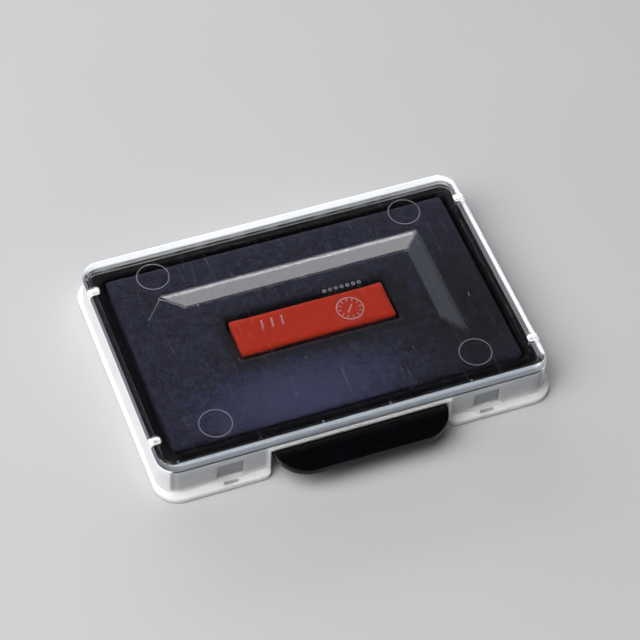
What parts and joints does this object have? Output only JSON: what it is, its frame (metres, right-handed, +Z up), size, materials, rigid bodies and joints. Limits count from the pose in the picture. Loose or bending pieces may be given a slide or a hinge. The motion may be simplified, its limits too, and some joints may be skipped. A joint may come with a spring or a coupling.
{
  "type": "two-colour stamp ink pad",
  "caption": "Flat rectangular ink cartridge with a felt pad round a small second-colour pad, a half-moon grip, and a lift-off cap with a clear raised window.",
  "frame": {"origin": "middle of the cartridge's flat underside, on the surface the pad stands on", "axes": "+X along the long side, +Z up out of the pads, -Y towards the grip"},
  "size_m": [0.0672, 0.0508, 0.0082],
  "materials": {
    "black_plastic": "moulded black, satin",
    "violet_felt": "felt soaked with violet-blue ink",
    "violet_foam": "open-cell foam soaked with violet-blue ink",
    "red_felt": "felt soaked with red ink",
    "red_foam": "open-cell foam soaked with red ink",
    "white_plastic": "moulded white, semi-gloss",
    "clear_plastic": "clear moulded, glossy"
  },
  "bodies": {
    "cartridge": {"ink_cartridge": "black_plastic", "main_felt_pad": "violet_felt", "main_reservoir_foam": "violet_foam", "date_felt_pad": "red_felt", "date_reservoir_foam": "red_foam"},
    "cap": {"cap_frame": "white_plastic", "clear_window": "clear_plastic"}
  },
  "joints": [
    {"name": "cap_lift", "type": "slide", "parent": "cartridge", "child": "cap", "axis": [0, 0, 1], "range_m": [0, 0.025]}
  ]
}
